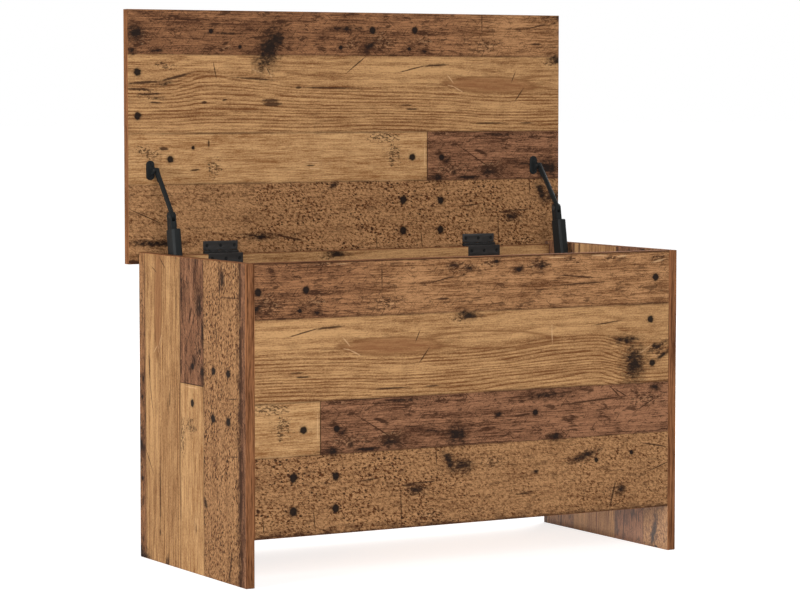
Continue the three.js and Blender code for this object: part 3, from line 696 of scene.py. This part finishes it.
def decor_planks(look):
    """The planks of the decor sheet without their marks, as a node group."""
    wires, given, made = new_group(
        "decor_planks",
        {"Along": "NodeSocketFloat", "Across": "NodeSocketFloat"},
        {"Color": "NodeSocketColor", "Roughness": "NodeSocketFloat", "Height": "NodeSocketFloat"},
    )
    sheet = Sheet(wires, given["Along"], given["Across"])
    grain, streaks, fibres = plank_grain(wires, sheet)
    clear = wires.product(
        wires.curve(sheet.along, CLEARNESS, 0, 1), wires.span(sheet.across, *CLEAR_EDGE), sheet.ringed)
    rings = growth_rings(wires, sheet)
    tracks, crumbs, holes = worm_tracks(wires, sheet)
    dirt = plank_dirt(wires, sheet)
    tone = wires.total(0.54, grain, crumbs, wires.blend(
        (rings, -1), (tracks, -0.62), (sheet.ringed, 0.13), (sheet.wormed, 0.08), (dirt, -0.2),
        (sheet.red, wires.span(sheet.along, *RED_LIGHTENING, 0.0, 0.25)), (clear, 0.26),
    ))
    colour = plank_colour(wires, sheet, wires.math("ADD", tone, 0, clamp=True), look)
    gaps = plank_gaps(wires, sheet)
    for share in (holes, wires.product(dirt, 0.8), gaps):
        colour = wires.tint(colour, share, look.crack)
    wires.feed(made["Color"], colour)
    wires.feed(made["Roughness"], wires.math("MULTIPLY_ADD", streaks, 0.22, 0.46))
    wires.feed(made["Height"], wires.blend((streaks, 0.6), (fibres, 0.4), (gaps, -0.5)))


def marks_on(marks, low, high):
    """The marks that touch one part of the sheet, each moved on by whole sheets where needed."""
    found = []
    for mark in marks:
        reach = max(mark[2:4])
        for lengths in (-1, 0, 1):
            for depths in (-1, 0, 1):
                spot = (mark[0] + lengths * SHEET_LENGTH, mark[1] + depths * SHEET_DEPTH)
                if all(low[n] - reach < spot[n] < high[n] + reach for n in (0, 1)):
                    found.append((*spot, *mark[2:]))
    return found


def nearest(wires, place, marks):
    """How near a point is to the nearest of these marks: 0 at its middle and 1 at its edge.

    A mark with a depth of colour below 1 counts as further off, so it comes out fainter.
    """
    gap = None
    for number, (along, across, length, width, turn, *depth) in enumerate(marks):
        if number and number % MARKS_AT_ONCE == 0:
            place = wires.after(gap, place)
        away = wires.length(wires.measured(place, (length, width, 1.0), (along, across, 0.0), turn))
        if depth and depth[0] < 1:
            away = wires.math("ADD", away, (1 - depth[0]) * FAINTNESS)
        gap = away if gap is None else wires.math("MINIMUM", gap, away)
    return gap


def cut_from_sheet(wires, name, corners):
    """A point's place on the sheet, and the lowest and highest places that this face covers."""
    point = wires.add("SeparateXYZ", {"Vector": wires.object_point()}).outputs
    places, low, high = [], [], []
    for axis, way, start in FACES[name]:
        places.append(wires.math("MULTIPLY_ADD", point[axis], way / MM, start))
        number = AXES.index(axis)
        reach = sorted(way * corner[number] / MM + start for corner in corners)
        low.append(reach[0])
        high.append(reach[1])
    return places, low, high


def printed_face(name, look, corners):
    """The material of one board face, cut from its own part of the decor sheet."""
    material, wires = new_material(f"printed_{name}")
    (along, across), low, high = cut_from_sheet(wires, name, corners)
    place = wires.add("CombineXYZ", (along, across)).outputs[0]
    planks = bpy.data.node_groups["decor_planks"]
    ground = wires.add("Group", {"Along": along, "Across": across}, node_tree=planks).outputs
    colour = ground["Color"]

    ragged = wires.about_zero(wires.noise(place, 12, 6, 5, 0.75), 2.6)
    wobble = wires.about_zero(wires.noise(place, 7, 4, 3, 0.6), 0.9)
    gap = wobble
    soft = wires.about_zero(wires.noise(place, 46, 5, 4, 0.65), 0.9)
    lenses = marks_on(LENSES, low, high)
    if lenses:
        gap = wires.math("ADD", nearest(wires, place, lenses), soft)
        streaky = wires.math("MULTIPLY_ADD", soft, 1.3, 0.72, clamp=True)
        fill = wires.product(wires.span(gap, 1.1, 0.75, smooth=True), streaky)
        colour = wires.tint(colour, fill, look.lens)
    arches = marks_on(ARCHES, low, high)
    if arches:
        gap = wires.math("MULTIPLY_ADD", soft, 0.4, nearest(wires, wires.after(gap, place), arches))
        line = wires.span(wires.distance(gap, 1), 0.2, 0.04, 0.0, 0.62)
        colour = wires.tint(colour, line, look.ringed_low)
    scuffs = marks_on(SCUFFS, low, high)
    if scuffs:
        gap = wires.math("ADD", nearest(wires, wires.after(gap, place), scuffs), wobble)
        thick = wires.span(gap, 1.3, 0.5)
        flecks = wires.noise(wires.after(gap, place), 8, 3.6, 4, 0.74, distortion=0.5)
        dark = wires.span(wires.math("MULTIPLY_ADD", thick, 0.23, flecks), 0.7, 0.77, 0.0, 0.82)
        light = wires.span(wires.math("MULTIPLY_ADD", thick, -0.15, flecks), 0.3, 0.24, 0.0, 0.22)
        colour = wires.tint(colour, light, look.splinter)
        colour = wires.tint(colour, dark, look.crack)
    nails = [(u, v, radius, radius, 0) for u, v, radius in NAILS]
    for marks, edge, share, coats in (
        (SPLINTERS, wobble, 1, ((1.1, 0.6, 0.55, look.splinter),)),
        (STAINS, ragged, 1, ((1.6, 0.6, 0.75, look.crack), (0.95, 0.35, 0.9, look.nail))),
        (CRACKS, wobble, 1, ((1.15, 0.6, 0.9, look.crack),)),
        (nails, wobble, 0.8, ((1.7, 0.9, 0.4, look.crack), (1.12, 0.8, 0.96, look.nail))),
    ):
        found = marks_on(marks, low, high)
        if found:
            gap = wires.math("MULTIPLY_ADD", edge, share, nearest(wires, wires.after(gap, place), found))
            for outer, inner, depth, plain in coats:
                colour = wires.tint(colour, wires.span(gap, outer, inner, 0.0, depth), plain)
    normal = wires.bump(ground["Height"], 0.8, look.emboss)
    finish_material(wires, colour, ground["Roughness"], normal, FACE_SHEEN.get(name, PAPER_SHEEN))
    return material


def edge_band(axis, look):
    """The plain streaked band glued on a board's edges, with its grain along one axis."""
    material, wires = new_material(f"edge_band_along_{axis.lower()}")
    point = wires.object_point()

    def grain(kind, detail):
        length, thickness = BAND_GRAIN[kind]
        units = [thickness * MM] * 3
        units[AXES.index(axis)] = length * MM
        return wires.cloud(wires.measured(point, units), detail, 0.6)

    streaks = grain("streaks", 3)
    fibres = grain("fibres", 2)
    tone = wires.total(0.56, wires.about_zero(streaks, 3.0), wires.about_zero(fibres, 1.9))
    colour = wires.mix(wires.math("ADD", tone, 0, clamp=True), opaque(look.band_low), opaque(look.band_high))
    pores = wires.span(grain("pores", 1), 0.66, 0.74)
    grime_and_shade = wires.span(grain("grime_and_shade", 4), 0.61, 0.7)
    dark = wires.math("MAXIMUM", wires.product(pores, 0.7), wires.product(grime_and_shade, 0.85))
    colour = wires.tint(colour, dark, look.crack)
    roughness = wires.math("MULTIPLY_ADD", streaks, 0.2, 0.7)
    finish_material(wires, colour, roughness, wires.bump(streaks, 0.7, look.emboss), 0.05)
    return material


def dowel_wood(boards):
    """Beech with its grain along X."""
    material, wires = new_material("dowel_beech")
    grain = wires.cloud(wires.measured(wires.object_point(), DOWEL_GRAIN), 3, 0.5)
    colour = wires.mix(wires.span(grain, 0.35, 0.65), opaque(boards.dowel_low), opaque(boards.dowel_high))
    roughness = wires.math("MULTIPLY_ADD", grain, 0.2, 0.5)
    finish_material(wires, colour, roughness, wires.bump(grain, 0.5, DOWEL_RELIEF))
    return material


def coated(name, colour, grain_size, unevenness, roughness, specular, painted_shade_line=None):
    """A hard finish with a fine grain: powder coat or moulded plastic.

    Where a point of a line along X is given, painted shade darkens the finish round that line: the shadow gap
    between a hinge's leaves and its knuckles.
    """
    material, wires = new_material(name)
    point = wires.object_point()

    grain = wires.cloud(point, 2, 0.55, 1 / grain_size)
    wear = wires.cloud(point, 3, 0.55, 1 / WEAR_SIZE)
    darker = opaque([c * (1 - unevenness) for c in colour])
    lighter = opaque([min(c * (1 + unevenness), 1) for c in colour])
    shade = wires.span(wires.blend((wear, 0.6), (grain, 0.4)), 0.36, 0.64)
    finish = wires.mix(shade, darker, lighter)
    if painted_shade_line:
        # Painted shade: darker towards the line of the hinge pins, for the shadow gap between the leaves and
        # the barrel
        away = wires.length(wires.measured(point, (FAR_ALONG, KNUCKLE_SHADE_REACH, KNUCKLE_SHADE_REACH), painted_shade_line))
        grime_and_shade = wires.span(away, 1.15, 0.85, 0.0, 0.8)
        finish = wires.tint(finish, grime_and_shade, [c * 0.2 for c in colour])
    unpolished = wires.span(wear, 0.3, 0.7, roughness - 0.06, roughness + 0.06)
    finish_material(wires, finish, unpolished, wires.bump(grain, 0.6, COAT_RELIEF), specular)
    return material


# Pieces


def new_mesh(name, shape):
    mesh = bpy.data.meshes.new(name)
    shape.to_mesh(mesh)
    shape.free()
    return mesh


def new_object(name, data):
    thing = bpy.data.objects.new(name, data)
    bpy.context.scene.collection.objects.link(thing)
    return thing


def add_piece(name, shape, materials, body, stands_for):
    """Turns a bmesh into a piece that rides on a body in place of CAD nodes."""
    mesh = new_mesh(name, shape)
    for material in materials:
        mesh.materials.append(material)
    piece = new_object(name, mesh)
    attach(piece, body)
    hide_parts(*stands_for)
    return piece


def material_named(name):
    material = bpy.data.materials.get(name)
    if material is None:
        raise RuntimeError(f"material {name} hasn't been made")
    return material


def make_board(node, faces, boards, look):
    """One board: printed on its two faces, banded round its edges, its arrises rounded."""
    low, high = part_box(node)
    size = high - low
    thin = min(range(3), key=lambda n: size[n])
    run = [n for n in range(3) if n != thin]
    shape = bmesh.new()
    bmesh.ops.create_cube(shape, size=1.0)
    bmesh.ops.scale(shape, vec=size, verts=shape.verts)
    bmesh.ops.translate(shape, vec=(low + high) / 2, verts=shape.verts)
    bmesh.ops.bevel(
        shape, geom=shape.edges, offset=boards.arris, offset_type="OFFSET", affect="EDGES",
        segments=boards.arris_steps, profile=0.5, material=-1, clamp_overlap=True,
    )
    shape.normal_update()
    for face in shape.faces:
        if abs(face.normal[thin]) > 0.999:
            face.material_index = 0 if face.normal[thin] < 0 else 1
        else:
            across = max(run, key=lambda n: abs(face.normal[n]))
            face.material_index = 2 + (1 - run.index(across))
        face.smooth = False
    materials = [printed_face(face, look, (low, high)) for face in faces]
    materials += [material_named(f"edge_band_along_{AXES[n].lower()}") for n in run]
    return add_piece(f"{node}_printed", shape, materials, BODY_OF_NODE[node], [node])


def soften(node, material, radius, change=None):
    """A copy of a hardware node with its hard edges rounded and its round faces smooth.

    change, where one is given, moves the copy's vertices first.
    """
    shape = bmesh.new()
    shape.from_mesh(frame["nodes"][node].data)
    bmesh.ops.remove_doubles(shape, verts=shape.verts, dist=MERGE_GAP)
    if change:
        change(shape)
    bmesh.ops.dissolve_limit(shape, angle_limit=FLAT_ANGLE, verts=shape.verts, edges=shape.edges)
    for face in shape.faces:
        face.smooth = True
        face.material_index = 0
    piece = add_piece(f"{node}_finished", shape, [material], BODY_OF_NODE[node], [node])
    bevel = piece.modifiers.new("Softened edges", "BEVEL")
    bevel.width = radius
    bevel.segments = SOFT_STEPS
    bevel.limit_method = "ANGLE"
    bevel.angle_limit = SHARP_ANGLE
    bevel.harden_normals = True
    bevel.use_clamp_overlap = True
    return piece


def raise_slot_floor(shape):
    """Lifts the floor of the fork's slot towards the elbow, where the arm still clears it."""
    up = Vector((0, math.sin(NECK_LEAN), math.cos(NECK_LEAN)))
    for vertex in shape.verts:
        height = (vertex.co - ELBOW).dot(up)
        if abs(height + FORK_DEPTH) < SLOT_NEAR:
            vertex.co += up * SLOT_LIFT


def dress(node, material):
    """Gives a CAD node that keeps its own shape a finish."""
    slots = frame["nodes"][node].material_slots
    if not slots:
        raise RuntimeError(f"{node} has no material slot")
    for slot in slots:
        slot.material = material


def named(*endings):
    return sorted(node for node in frame["nodes"] if node.endswith(endings))


# Operators


class CHEST_OT_finishes(bpy.types.Operator):
    """Makes the decor sheet, the edge bands and the hardware finishes"""

    bl_idname = "chest.finishes"
    bl_label = "Make finishes"

    def execute(self, context):
        look = context.scene.chest_print
        metal = context.scene.chest_hardware
        decor_planks(look)
        for axis in AXES:
            edge_band(axis, look)
        dowel_wood(context.scene.chest_boards)
        coated("coated_steel", metal.steel, *STEEL_COAT)
        # The hinge leaves get painted shade along their knuckles, for the shadow gap between leaf and barrel
        coated("hinge_steel", metal.steel, *STEEL_COAT, painted_shade_line=HINGE_LINE)
        coated("screw_steel", metal.screws, *SCREW_COAT)
        coated("moulded_plastic", metal.plastic, *MOULDING)
        return {"FINISHED"}


class CHEST_OT_boards(bpy.types.Operator):
    """Makes the printed boards of the box and the lid"""

    bl_idname = "chest.boards"
    bl_label = "Make boards"

    def execute(self, context):
        for node, faces in BOARDS.items():
            make_board(node, faces, context.scene.chest_boards, context.scene.chest_print)
        return {"FINISHED"}


class CHEST_OT_hinges(bpy.types.Operator):
    """Finishes the leaves and pins of the two hinges"""

    bl_idname = "chest.hinges"
    bl_label = "Finish hinges"

    def execute(self, context):
        steel = material_named("hinge_steel")
        radius = context.scene.chest_hardware.softening
        for node in named("_hinge_lid_leaf", "_hinge_box_leaf"):
            soften(node, steel, radius)
        # The pins take the darker screw finish, as painted shade in the gap between the knuckles
        for node in named("_hinge_pin"):
            soften(node, material_named("screw_steel"), radius)
        return {"FINISHED"}


class CHEST_OT_stays(bpy.types.Operator):
    """Finishes the two folding lid stays"""

    bl_idname = "chest.stays"
    bl_label = "Finish lid stays"

    def execute(self, context):
        steel = material_named("coated_steel")
        plastic = material_named("moulded_plastic")
        radius = context.scene.chest_hardware.softening
        for node in named("_stay_housing", "_stay_arm", "_stay_lid_plate"):
            soften(node, plastic, 2 * radius)
        for node in named("_stay_neck"):
            soften(node, plastic, 2 * radius, change=raise_slot_floor)
        for node in named("_stay_bracket", "_stay_brake_cartridge"):
            soften(node, steel, radius)
        for node in named("_stay_base_pin", "_stay_elbow_pin", "_stay_lid_pin"):
            soften(node, steel, radius)
        return {"FINISHED"}


class CHEST_OT_dowels(bpy.types.Operator):
    """Finishes the beech dowels that hold the box together"""

    bl_idname = "chest.dowels"
    bl_label = "Finish dowels"

    def execute(self, context):
        for node in named("_dowel_left", "_dowel_right"):
            dress(node, material_named("dowel_beech"))
        return {"FINISHED"}


class CHEST_OT_screws(bpy.types.Operator):
    """Finishes the screws of the hinges and stays"""

    bl_idname = "chest.screws"
    bl_label = "Finish screws"

    def execute(self, context):
        for node in named("_screw_1", "_screw_2", "_screw_3"):
            dress(node, material_named("screw_steel"))
        return {"FINISHED"}


class CHEST_OT_stage(bpy.types.Operator):
    """Sets the floor, the lamps, the room light and the camera"""

    bl_idname = "chest.stage"
    bl_label = "Set stage"

    def execute(self, context):
        stage = context.scene.chest_stage
        scene = context.scene
        make_floor(stage)
        make_room(stage, scene)
        lamps = {
            name: make_lamp(name, getattr(stage, power), size, spot, aim)
            for name, (power, size, spot, aim) in LAMPS.items()
        }
        bounce = lamps["floor_bounce"]
        bounce.data.shape = "RECTANGLE"
        bounce.data.size_y = BOUNCE_DEPTH
        bounce.visible_camera = False
        scene.camera = make_camera(stage.lens_length)
        scene.view_settings.view_transform = "Standard"
        return {"FINISHED"}


def seen_straight(wires):
    """1 for rays from the camera, from gloss and through glass, and 0 for the light that falls on things."""
    rays = wires.add("LightPath").outputs
    either = wires.math("MAXIMUM", rays["Is Camera Ray"], rays["Is Glossy Ray"])
    return wires.math("MAXIMUM", either, rays["Is Transmission Ray"])


def make_floor(stage):
    shape = bmesh.new()
    bmesh.ops.create_grid(shape, x_segments=1, y_segments=1, size=FLOOR_REACH)
    mesh = new_mesh("studio_floor", shape)
    new_object("studio_floor", mesh)
    material, wires = new_material("floor_paper")
    mesh.materials.append(material)
    paper = wires.add("BsdfDiffuse", {"Color": opaque(stage.paper)})
    lift = wires.span(wires.length(wires.object_point()), *GLOW_REACH, stage.near_glow, stage.far_glow)
    glow = wires.add("Emission", {
        "Color": opaque((1, 1, 1)), "Strength": wires.product(seen_straight(wires), lift),
    })
    both = wires.add("AddShader", (paper.outputs[0], glow.outputs[0]))
    wires.add("OutputMaterial", {"Surface": both.outputs[0]})


def make_room(stage, scene):
    room = bpy.data.worlds.new("studio_room")
    room.use_nodes = True
    room.node_tree.nodes.clear()
    scene.world = room
    wires = Wiring(room.node_tree)
    strength = wires.math("MAXIMUM", seen_straight(wires), stage.room_light)
    light = wires.add("Background", {"Color": opaque((1, 1, 1)), "Strength": strength})
    wires.add("OutputWorld", {"Surface": light.outputs[0]})


def make_lamp(name, power, size, spot, aim):
    lamp = bpy.data.lights.new(name, "AREA")
    lamp.shape = "SQUARE"
    lamp.size = size
    lamp.energy = power
    holder = new_object(name, lamp)
    holder.location = spot
    holder.rotation_euler = (Vector(aim) - Vector(spot)).to_track_quat("-Z", "Y").to_euler()
    return holder


def make_camera(lens_length):
    camera = bpy.data.cameras.new("photo_camera")
    camera.lens = lens_length
    camera.sensor_fit = "HORIZONTAL"
    camera.sensor_width = SENSOR_WIDTH
    camera.clip_end = FAR_CLIP
    holder = new_object("photo_camera", camera)
    holder.location = CAMERA_PLACE
    holder.rotation_euler = (math.radians(90 - CAMERA_DIP), 0, math.radians(CAMERA_TURN))
    return holder


class CHEST_PT_builder(bpy.types.Panel):
    """Lists the steps that dress the storage chest"""

    bl_idname = "CHEST_PT_builder"
    bl_label = "Storage chest"
    bl_space_type = "VIEW_3D"
    bl_region_type = "UI"
    bl_category = "Chest"

    def draw(self, context):
        for step in STEPS:
            self.layout.operator(step.bl_idname, text=step.bl_label)
        for settings in SETTINGS:
            box = self.layout.box()
            group = getattr(context.scene, settings)
            for name in group.bl_rna.properties.keys():
                if name not in {"rna_type", "name"}:
                    box.prop(group, name)


STEPS = (
    CHEST_OT_stage, CHEST_OT_finishes, CHEST_OT_boards, CHEST_OT_dowels, CHEST_OT_hinges,
    CHEST_OT_stays, CHEST_OT_screws,
)
SETTINGS = {
    "chest_print": PrintSettings,
    "chest_boards": BoardSettings,
    "chest_hardware": HardwareSettings,
    "chest_stage": StageSettings,
}
CLASSES = (*SETTINGS.values(), *STEPS, CHEST_PT_builder)


def register():
    for kind in CLASSES:
        bpy.utils.register_class(kind)
    for name, settings in SETTINGS.items():
        setattr(bpy.types.Scene, name, PointerProperty(type=settings))


def unregister():
    for name in SETTINGS:
        delattr(bpy.types.Scene, name)
    for kind in reversed(CLASSES):
        bpy.utils.unregister_class(kind)


def main():
    register()
    bpy.ops.chest.stage()
    bpy.ops.chest.finishes()
    bpy.ops.chest.boards()
    bpy.ops.chest.dowels()
    bpy.ops.chest.hinges()
    bpy.ops.chest.stays()
    bpy.ops.chest.screws()
    bpy.context.view_layer.update()


if __name__ == "__main__":
    main()
